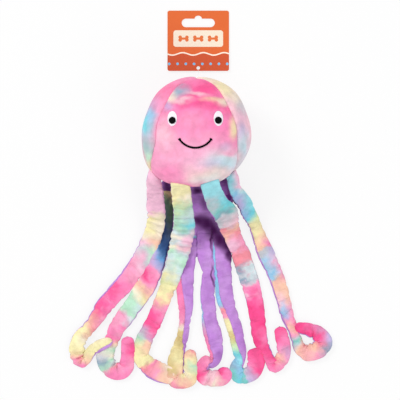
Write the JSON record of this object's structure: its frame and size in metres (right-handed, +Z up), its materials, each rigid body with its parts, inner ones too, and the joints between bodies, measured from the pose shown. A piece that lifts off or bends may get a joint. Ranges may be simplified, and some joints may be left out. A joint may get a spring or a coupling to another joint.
{
  "type": "plush dog toy",
  "caption": "Plush octopus dog toy with a stuffed head, long floppy two-ply legs with curled ends, a squeaker inside, and a header card with a hanging slot.",
  "frame": {"origin": "the flat of the head's back, where the toy lies on the surface, under the middle of the head", "axes": "+Y along the toy from the legs to the head and card, +Z up through the face"},
  "size_m": [0.2516, 0.366, 0.0917],
  "materials": {
    "pink_plush": "short brushed velour pile",
    "tie_dye_plush": "short brushed velour pile, dyed in soft pastel patches of pink, cyan, mint, cream and peach",
    "lilac_plush": "short brushed velour pile, plain",
    "white_felt": "satin-stitched patch",
    "black_stitching": "dense satin stitch",
    "fibre_fill": "loose polyester fibre",
    "squeaker_plastic": "soft blown plastic",
    "printed_card": "smooth coated card",
    "clear_nylon": "clear moulded nylon"
  },
  "bodies": {
    "head": {"face_panel": "pink_plush", "side_panel_left": "tie_dye_plush", "side_panel_right": "tie_dye_plush", "back_panel": "pink_plush", "base_panel": "lilac_plush", "fibre_fill_front": "fibre_fill", "fibre_fill_back": "fibre_fill", "squeaker_bladder": "squeaker_plastic", "squeaker_reed": "squeaker_plastic", "eye_white_left": "white_felt", "eye_white_right": "white_felt", "pupil_left": "black_stitching", "pupil_right": "black_stitching", "smile_stitch": "black_stitching", "back_web_outer": "tie_dye_plush", "back_web_lining": "lilac_plush", "tag_fastener": "clear_nylon"},
    "leg_1": {"leg_1_outer": "tie_dye_plush", "leg_1_lining": "lilac_plush"},
    "leg_2": {"leg_2_outer": "tie_dye_plush", "leg_2_lining": "lilac_plush"},
    "leg_3": {"leg_3_outer": "tie_dye_plush", "leg_3_lining": "lilac_plush"},
    "leg_4": {"leg_4_outer": "tie_dye_plush", "leg_4_lining": "lilac_plush"},
    "leg_5": {"leg_5_outer": "tie_dye_plush", "leg_5_lining": "lilac_plush"},
    "leg_6": {"leg_6_outer": "tie_dye_plush", "leg_6_lining": "lilac_plush"},
    "leg_7": {"leg_7_outer": "tie_dye_plush", "leg_7_lining": "lilac_plush"},
    "leg_8": {"leg_8_outer": "tie_dye_plush", "leg_8_lining": "lilac_plush"},
    "card": {"header_card": "printed_card"}
  },
  "joints": [
    {"name": "leg_1_root", "type": "hinge", "parent": "head", "child": "leg_1", "pos_m": [-0.04, -0.045, 0.0525], "axis": [-1, 0, 0], "range_deg": [0, 90]},
    {"name": "leg_2_root", "type": "hinge", "parent": "head", "child": "leg_2", "pos_m": [-0.0275, -0.0577, 0.0208], "axis": [-1, 0, 0], "range_deg": [0, 50]},
    {"name": "leg_3_root", "type": "hinge", "parent": "head", "child": "leg_3", "pos_m": [-0.015, -0.0445, 0.07], "axis": [-1, 0, 0], "range_deg": [0, 90]},
    {"name": "leg_4_root", "type": "hinge", "parent": "head", "child": "leg_4", "pos_m": [-0.004, -0.1207, 0.0068], "axis": [-1, 0, 0], "range_deg": [0, 90]},
    {"name": "leg_5_root", "type": "hinge", "parent": "head", "child": "leg_5", "pos_m": [0.0068, -0.1207, 0.0068], "axis": [-1, 0, 0], "range_deg": [0, 90]},
    {"name": "leg_6_root", "type": "hinge", "parent": "head", "child": "leg_6", "pos_m": [0.0204, -0.1057, 0.0068], "axis": [-1, 0, 0], "range_deg": [0, 75]},
    {"name": "leg_7_root", "type": "hinge", "parent": "head", "child": "leg_7", "pos_m": [0.013, -0.0445, 0.071], "axis": [-1, 0, 0], "range_deg": [0, 90]},
    {"name": "leg_8_root", "type": "hinge", "parent": "head", "child": "leg_8", "pos_m": [0.034, -0.045, 0.0535], "axis": [-1, 0, 0], "range_deg": [0, 90]},
    {"name": "card_swing", "type": "hinge", "parent": "head", "child": "card", "pos_m": [0.0016, 0.0626, 0.002], "axis": [1, 0, 0], "range_deg": [0, 90]}
  ]
}
